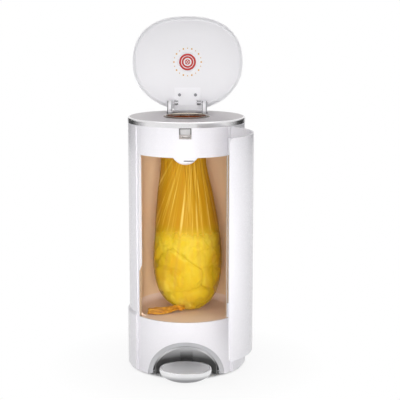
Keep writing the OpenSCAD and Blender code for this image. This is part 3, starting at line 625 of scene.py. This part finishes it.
def bagSide(height):
    # half width of the bag, on a smooth line through the table
    table = film["side"]
    last = len(table) - 2
    place = next((place for place in range(last) if height <= table[place + 1][0]), last)
    (low, first), (high, second) = table[place], table[place + 1]
    share = ramp(height, low, high)
    if place == 0:
        return film["foot"] * math.sqrt(share * (2 - share))
    before = table[place - 1]
    after = table[place + 2] if place < last else (high + 1, second)
    slopeIn = (second - before[1]) / (high - before[0]) * (high - low)
    slopeOut = (after[1] - first) / (after[0] - low) * (high - low)
    cube, square = share ** 3, share ** 2
    return ((2 * cube - 3 * square + 1) * first + (cube - 2 * square + share) * slopeIn
            + (3 * square - 2 * cube) * second + (cube - square) * slopeOut)


def bagMiddle(height):
    down = ramp(height, *film["gatherZ"]) ** film["gatherPower"]
    up = ramp(height, *film["neckZ"])
    lean = film["lean"] * ramp(height, *film["leanZ"])
    x = (film["middle"][0] + lean) * (1 - down) * (1 - up) + film["gather"][0] * down
    y = film["middle"][1] * (1 - down) * (1 - up) + film["gather"][1] * down + film["neckY"] * up
    return x, y


# nappies pressed together in the bag: each fills the room up to the next one and to the film.
# A seat is a middle and a reach, and facets are the size, the tip and the shift of the creases
nappies = {"seats": [(2, -6, 171.1, 39), (43.9, -6, 231.1, 33.9), (-18.9, 30.3, 231.1, 33.9),
                     (-18.9, -42.3, 231.1, 33.9), (21.8, 28.2, 285.8, 33.9), (-37.5, -6, 285.8, 33.9),
                     (21.8, -40.2, 285.8, 33.9)],
           "top": 329, "dome": 0.0022, "bottom": 131.6, "footSlope": 0.9, "bagZ": (130.2, 470),
           "film": 1.6, "apart": 0.25, "divide": 5, "farthest": 70.0, "tries": 13,
           "facets": [(40, 44, 0.3), (20, 9.68, 5.1)], "tipScale": 5.3, "seed": 5, "sink": 4.6, "leastSink": 0.25,
           "shell": 9, "leastShell": 0.15}


def fromFilm(point):
    # half width of the bag at a point's height, and how far out the point is
    x, y, z = point
    lowest, highest = nappies["bagZ"]
    middleX, middleY = bagMiddle(z)
    return bagSide(min(max(z, lowest), highest)), math.hypot(x - middleX, y - middleY)


def roomAt(point, place):
    # how far inside its own room a point is, less than nothing outside
    x, y, z = point
    side, out = fromFilm(point)
    room = side * (1 - film["pleatDepth"] * ramp(z, *film["pleatZ"])) - nappies["film"] - out
    room = min(room, (z - nappies["bottom"]) * nappies["footSlope"])
    seatX, seatY, seatZ, reach = nappies["seats"][place]
    crown = nappies["top"] - nappies["dome"] * ((x - seatX) ** 2 + (y - seatY) ** 2) - z
    room = min(room, crown)
    own = (x - seatX) ** 2 + (y - seatY) ** 2 + (z - seatZ) ** 2 - reach ** 2
    for other, (otherX, otherY, otherZ, otherReach) in enumerate(nappies["seats"]):
        if other != place:
            apart = math.dist((seatX, seatY, seatZ), (otherX, otherY, otherZ))
            power = (x - otherX) ** 2 + (y - otherY) ** 2 + (z - otherZ) ** 2 - otherReach ** 2
            room = min(room, (power - own) / (2 * apart) - nappies["apart"])
    return room


def creasing(spot, place):
    # paper-like facets: cells that tip each their own way
    sink = 0
    for cell, tip, shift in nappies["facets"]:
        where = spot / cell + Vector((place * 3.7 + shift, place * 1.9, shift))
        seat = noise.voronoi(where)[1][0]
        sink += tip * (where - seat).dot(noise.noise_vector(seat * nappies["tipScale"]))
    return max(nappies["leastSink"], nappies["sink"] + sink)


def nappyReach(direction, place):
    seat = Vector(nappies["seats"][place][:3])
    near, far = 0.0, nappies["farthest"]
    for attempt in range(nappies["tries"]):
        half = (near + far) / 2
        if roomAt(seat + direction * half, place) > 0:
            near = half
        else:
            far = half
    return near


# nappy tones: each facet gets a painted lighter or darker tone for how light falls on it, mixed with painted light on
# the ridges and painted shade in the folds of the relief
coverLook = {"tones": [(0.2, (0.74, 0.43, 0.012)), (0.48, (0.87, 0.66, 0.027)), (0.72, (0.95, 0.85, 0.14))],
             "fold": 0.022, "grain": 0.004, "facets": 19, "facetShift": (0.047, 0.011, 0.031),
             "facetShare": 0.45, "rough": (0.35, 0.55), "depth": 0.0015}
nappyCover = Finish("nappyCover")
fold = nappyCover.grain(coverLook["fold"], 4)
fine = nappyCover.grain(coverLook["grain"], 3)
shifted = nappyCover.add("ShaderNodeMapping", inputs={"Vector": nappyCover.place, "Location": coverLook["facetShift"]})
facets = nappyCover.add("ShaderNodeTexVoronoi", inputs={"Vector": shifted, "Scale": coverLook["facets"]}, out="Color")
facetShading = nappyCover.add("ShaderNodeSeparateColor", inputs={"Color": facets}, out="Red")
tone = facetShading * coverLook["facetShare"] + fold * (1 - coverLook["facetShare"])
nappyCover.set({"Base Color": nappyCover.tones(tone, coverLook["tones"]),
                "Roughness": nappyCover.uneven(fine, *coverLook["rough"])})
nappyCover.relief(fold * 0.8 + fine * 0.2, coverLook["depth"])

noise.seed_set(nappies["seed"])  # without it the tips of the facets follow the clock
for place, seat in enumerate(nappies["seats"]):
    work = bmesh.new()
    bmesh.ops.create_icosphere(work, subdivisions=nappies["divide"], radius=1)
    work.verts.ensure_lookup_table()
    reach = [nappyReach(point.co.normalized(), place) for point in work.verts]
    # round the ridges off once, inwards only
    nearby = [[edge.other_vert(point).index for edge in point.link_edges] for point in work.verts]
    reach = [min(own, (own + sum(reach[index] for index in near)) / (1 + len(near)))
             for own, near in zip(reach, nearby)]
    middle = Vector(seat[:3])
    for point in work.verts:
        direction = point.co.normalized()
        spot = middle + direction * reach[point.index]
        side, out = fromFilm(spot)
        # creases are deepest by the film
        outward = max(nappies["leastShell"], min(1.0, 1.5 - (side - out) / nappies["shell"]))
        point.co = (middle + direction * (reach[point.index] - creasing(spot, place) * outward)) * mm
    usedNappy = fromWork("usedNappy" + str(place + 1), work, nappyCover, smooth=True)
    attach(usedNappy, "housing")
    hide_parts("used_nappies")
print("nappies made")

# film: amber over the neck, yellow and clearer where it is filled, with painted highlights, painted glints and painted
# shade in streaks that fan out from a point over it
filmLook = {"neck": (0.66, 0.34, 0.010), "full": (0.86, 0.62, 0.02), "fullZ": (0.335, 0.300),
            "streakHighlight": (0.84, 0.52, 0.05), "glint": (0.96, 0.70, 0.18), "shade": (0.80, 0.30, 0.008),
            "streakFrom": (0.5, 0.62), "glintFrom": (0.58, 0.74), "shadeFrom": (0.42, 0.25),
            "fanX": 0.016, "fanZ": 0.575, "fanScale": 42, "fanShift": 3.3, "acrossScale": 22, "downScale": 3,
            "cloud": 0.03, "rough": (0.28, 0.42), "coat": 0.12, "specular": 0.25, "alpha": (0.58, 0.26),
            "streakAlpha": 0.14, "depth": 0.0012}
amberFilm = Finish("amberFilm")
height = amberFilm.axis("Z")
fan = (amberFilm.axis("X") - filmLook["fanX"]) / (filmLook["fanZ"] - height)
spread = amberFilm.add("ShaderNodeCombineXYZ", inputs={"X": fan * filmLook["fanScale"] + filmLook["fanShift"],
                                                       "Y": amberFilm.axis("Y") * filmLook["acrossScale"],
                                                       "Z": height * filmLook["downScale"]})
streaks = amberFilm.grain(1.0, 3, spread, 0.6)
cloud = amberFilm.grain(filmLook["cloud"], 3)
filled = amberFilm.fade(height, *filmLook["fullZ"])
glints = amberFilm.fade(streaks, *filmLook["glintFrom"]) * amberFilm.fade(filled, 0.6, 0)
colour = amberFilm.blend(filled, filmLook["neck"], filmLook["full"])
colour = amberFilm.blend(amberFilm.fade(streaks, *filmLook["streakFrom"]), colour, filmLook["streakHighlight"])
colour = amberFilm.blend(glints, colour, filmLook["glint"])
colour = amberFilm.blend(amberFilm.fade(streaks, *filmLook["shadeFrom"]), colour, filmLook["shade"])
streakAlpha = amberFilm.fade(streaks, 0.35, 0.8, 0, filmLook["streakAlpha"]) * amberFilm.fade(filled, 0, 1, 1, 0.5)
amberFilm.set({"Base Color": colour, "Roughness": amberFilm.uneven(cloud, *filmLook["rough"]),
               "Coat Weight": filmLook["coat"], "Coat Roughness": plasticLook["coatRough"],
               "Specular IOR Level": filmLook["specular"],
               "Alpha": amberFilm.fade(filled, 0, 1, *filmLook["alpha"]) + streakAlpha})
amberFilm.relief(streaks * 0.7 + cloud * 0.3, filmLook["depth"])


def filmPoint(side, ahead, turn, height, inward):
    x, y = bagMiddle(height)
    radius = bagSide(height)
    if height < film["throat"]:
        # hanging creases from the ring downwards
        hang = ramp(height, *film["hangZ"]) * ramp(height, *film["hangEndZ"])
        for middle, width, depth, lowest, twist in filmCreases:
            swing = twist * (film["twistFrom"] - height) / film["twistOver"]
            away = (turn - middle - swing + math.pi) % (2 * math.pi) - math.pi
            reach = ramp(height - lowest, 0, film["creaseFade"])
            radius -= depth * hang * reach * max(0.0, 1 - abs(away) / width) ** film["creasePower"]
        # dents where the film lies on the nappies
        spot = Vector((side * film["dentTurn"], ahead * film["dentTurn"], height * film["dentRise"]))
        press = ramp(height, *film["pressZ"]) * ramp(height, *film["pressEndZ"])
        dent = 1.2 * abs(noise.noise(spot * 1.7)) + 2.4 * noise.noise(spot * 4) ** 2
        radius -= press * min(film["deepest"], dent)
        # pleats towards the knot
        wander = 3 * noise.noise(Vector((turn * 2, 0.3, 1)))
        pleat = 0.5 + 0.5 * math.sin(turn * film["pleats"] + wander)
        radius *= 1 - film["pleatDepth"] * ramp(height, *film["pleatZ"]) * pleat
    radius = max(0.0, radius - inward)
    return Vector((x + radius * side, y + radius * ahead, height)) * mm


def filmRing(height, inward):
    return [filmPoint(side, ahead, 2 * math.pi * step / film["around"], height, inward)
            for step, (side, ahead) in enumerate(circle(film["around"]))]


outer, inner = [], []
for row in range(film["rows"] + 1):
    share = (row / film["rows"]) ** film["rowPower"]
    height = film["bottom"] + (film["top"] - film["lip"] - film["bottom"]) * share
    outer.append(filmRing(height, 0))
    inner.append(filmRing(height + film["wall"], film["wall"]))
# flat flange that is held under the ring
flangeTop = film["top"] + film["flangeThick"]
lip = []
for radius, height in [(64.2, 507.6), (66, film["top"]), (film["flange"], film["top"]), (film["flange"], flangeTop),
                       (65.4, flangeTop), (63.4, 507.8)]:
    lip.append([Vector((radius * side, film["neckY"] + radius * ahead, height)) * mm
                for side, ahead in circle(film["around"])])
filmBag = fromFaces("filmBag", *skin(outer + lip + inner[::-1]), amberFilm)
fixNormals(filmBag)
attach(filmBag, "housing")
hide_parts("liner_bag")
print("film bag made")

# finish of the knot and the tail: painted shade in the folds, painted highlights on the golden ridges
knotLook = {"tones": [(0.3, (0.30, 0.08, 0.002)), (0.5, (0.62, 0.26, 0.010)), (0.66, (0.86, 0.50, 0.05))],
            "stretch": (55, 320, 240), "rough": 0.34, "coat": 0.1, "depth": 0.0016}
knotFilm = moulded("knotFilm", knotLook["rough"], coat=knotLook["coat"])
pleats = knotFilm.stretched(knotLook["stretch"], 3, 0.65)
knotFilm.set({"Base Color": knotFilm.tones(pleats, knotLook["tones"])})
knotFilm.relief(pleats, knotLook["depth"])

# pleated tail of film beyond the knot: the path is x, y and half width
tail = {"path": [(-17, -38, 5), (-33, -45, 9), (-52, -50, 14), (-70, -50, 18), (-85, -47, 20)],
        "rows": 80, "across": 110, "pleats": 5, "rise": 12, "floor": 129.9, "thick": 1.0,
        "knotLift": 6, "crinkle": 0.9, "ragged": 5, "wander": 1.5}


def tailRow(share):
    last = len(tail["path"]) - 1
    place = min(share * last, last - 0.001)
    first, second = tail["path"][int(place)], tail["path"][int(place) + 1]
    between = place - int(place)
    return [one + (two - one) * between for one, two in zip(first, second)]


def tailSpot(share, side):
    x, y, half = tailRow(share)
    wander = noise.noise(Vector((share * 3.1, side * 2.2, 4.7)))
    ragged = share ** 6 * tail["ragged"] * noise.noise(Vector((side * 6, 2.2, 0.4)))
    pleat = 0.5 + 0.5 * math.sin(tail["pleats"] * math.pi * side + 2.4 * wander + share)
    lift = tail["knotLift"] * (1 - share) ** 3 + 1.4 * abs(wander)
    lift += tail["rise"] * pleat * (1 - 0.3 * share) * (1 - 0.5 * side * side)
    lift += tail["crinkle"] * math.sin(19 * side + 5 * wander + 9 * share) * min(1, 4 * share)
    return Vector((x - ragged, y + half * side + tail["wander"] * wander, tail["floor"] + tail["thick"] + lift))


rings = []
for row in range(tail["rows"] + 1):
    upper = [tailSpot(row / tail["rows"], 2 * step / tail["across"] - 1) for step in range(tail["across"] + 1)]
    lower = [spot - Vector((0, 0, tail["thick"])) for spot in upper]
    rings.append([spot * mm for spot in upper + lower[::-1]])
filmTail = fromFaces("filmTail", *skin(rings), knotFilm)
fixNormals(filmTail)
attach(filmTail, "housing")
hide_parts("liner_knot")

# wrapped knot at the foot of the bag
knot = {"place": (-12, -39, 140.4), "reach": 8.6, "wraps": 3, "climb": 7, "least": 0.82, "wrapDepth": 0.22,
        "bump": 0.10}
work = bmesh.new()
bmesh.ops.create_icosphere(work, subdivisions=4, radius=1)
for point in work.verts:
    turn = math.atan2(point.co.y, point.co.x)
    wander = 2 * noise.noise(point.co * 1.7)
    wrap = 0.5 + 0.5 * math.sin(knot["wraps"] * turn + knot["climb"] * point.co.z + wander)
    reach = knot["least"] + knot["wrapDepth"] * wrap + knot["bump"] * noise.noise(point.co * 3.3)
    point.co = (Vector(knot["place"]) + point.co * reach * knot["reach"]) * mm
filmKnot = fromWork("filmKnot", work, knotFilm, smooth=True)
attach(filmKnot, "housing")
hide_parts("liner_knot")
print("knot and tail made")

# plain floor and plain soft light. A lamp is its place, the height it is aimed at, its size and watts,
# the spread of its beam, and whether the camera and polished metal see it
studio = {"floor": ((0.90, 0.90, 0.90), (0.92, 0.92, 0.92)), "floorRadius": 14, "world": 0.23,
          "foot": (0.118, 0.13), "shadow": (0.15, 0.32, 0.87, 1),
          "lamps": {"frontBox": ((-0.2, -2.9, 0.95), 0.35, (1.8, 1.4), 14, 180, True, False),
                    "keyBox": ((-1.2, -1.9, 1.3), 0.35, (1.2, 1.2), 5, 180, True, False),
                    "fillBox": ((0.75, -1.9, 0.7), 0.35, (1.2, 1.6), 3.2, 180, True, False),
                    "lowBox": ((0.05, -1.2, 0.4), 0.32, (0.5, 0.5), 0.9, 50, False, False),
                    "topBox": ((0, 0.2, 2.2), 0.3, (1.6, 1.6), 6, 180, True, True),
                    "leftBox": ((-2.3, -0.5, 0.7), 0.3, (1.4, 1.4), 7.5, 180, False, False),
                    "rightBox": ((2.3, -0.5, 0.7), 0.3, (1.4, 1.4), 7.5, 180, False, False),
                    "backBox": ((0.2, 2.6, 1.1), 0.3, (1.4, 1.4), 30, 180, False, False)}}
paperFloor = Finish("paperFloor")
paperFloor.set({"Base Color": paperFloor.mottled(0.4, *studio["floor"]), "Roughness": 0.9})
away = paperFloor.add("ShaderNodeVectorMath", {"operation": "LENGTH"}, {0: paperFloor.place}, out="Value")
share = paperFloor.fade(away, *studio["foot"]) * paperFloor.fade(away, *studio["shadow"]) * paperFloor.seen()
white = paperFloor.add("ShaderNodeEmission", inputs={"Color": (1, 1, 1), "Strength": 1.0})
paper = Value(paperFloor, paperFloor.surface.outputs[0])
mixed = paperFloor.add("ShaderNodeMixShader", inputs={0: share, 1: paper, 2: white})
paperFloor.put(paperFloor.tree.nodes["Material Output"].inputs["Surface"], mixed)
work = bmesh.new()
bmesh.ops.create_circle(work, cap_ends=True, segments=96, radius=studio["floorRadius"])
floorPaper = fromWork("floorPaper", work, paperFloor)

world = bpy.data.worlds.new("studioWorld")
world.use_nodes = True
sky = Nodes(world.node_tree)
background = sky.tree.nodes["Background"]
sky.put(background.inputs["Strength"], sky.fade(sky.seen(), 0, 1, studio["world"], 1))
sky.put(background.inputs["Color"], (1, 1, 1))
bpy.context.scene.world = world

for name, (place, aim, size, watts, beam, inView, inMetal) in studio["lamps"].items():
    lampData = bpy.data.lights.new(name, "AREA")
    lampData.shape = "RECTANGLE"
    lampData.size, lampData.size_y = size
    lampData.energy = watts
    lampData.spread = math.radians(beam)
    lamp = linked(name, lampData)
    lamp.location = place
    lamp.rotation_euler = (Vector((0, 0, aim)) - Vector(place)).to_track_quat("-Z", "Y").to_euler()
    lamp.visible_camera = inView
    lamp.visible_glossy = inMetal

# dark cards that only polished metal sees, fading out towards the front
cards = {"tones": ((0.01, 0.01, 0.01), (0.02, 0.02, 0.02)), "alphaY": (-0.25, 0.5),
         "corners": [(1.0, -0.25, 0.42), (1.3, 2.6, 0.14), (1.3, 2.6, 0.75), (1.0, -0.25, 0.75)]}
darkCard = Finish("darkCard")
darkCard.set({"Base Color": darkCard.mottled(0.1, *cards["tones"]), "Roughness": 1.0, "Specular IOR Level": 0.0,
              "Alpha": darkCard.fade(darkCard.axis("Y"), *cards["alphaY"])})
for name, side in (("leftCard", -1), ("rightCard", 1)):
    corners = [(x * side, y, z) for x, y, z in cards["corners"]]
    card = fromFaces(name, corners, [(0, 1, 2, 3)], darkCard, smooth=False)
    card.visible_camera = card.visible_diffuse = card.visible_shadow = card.visible_transmission = False
print("floor and lights set")
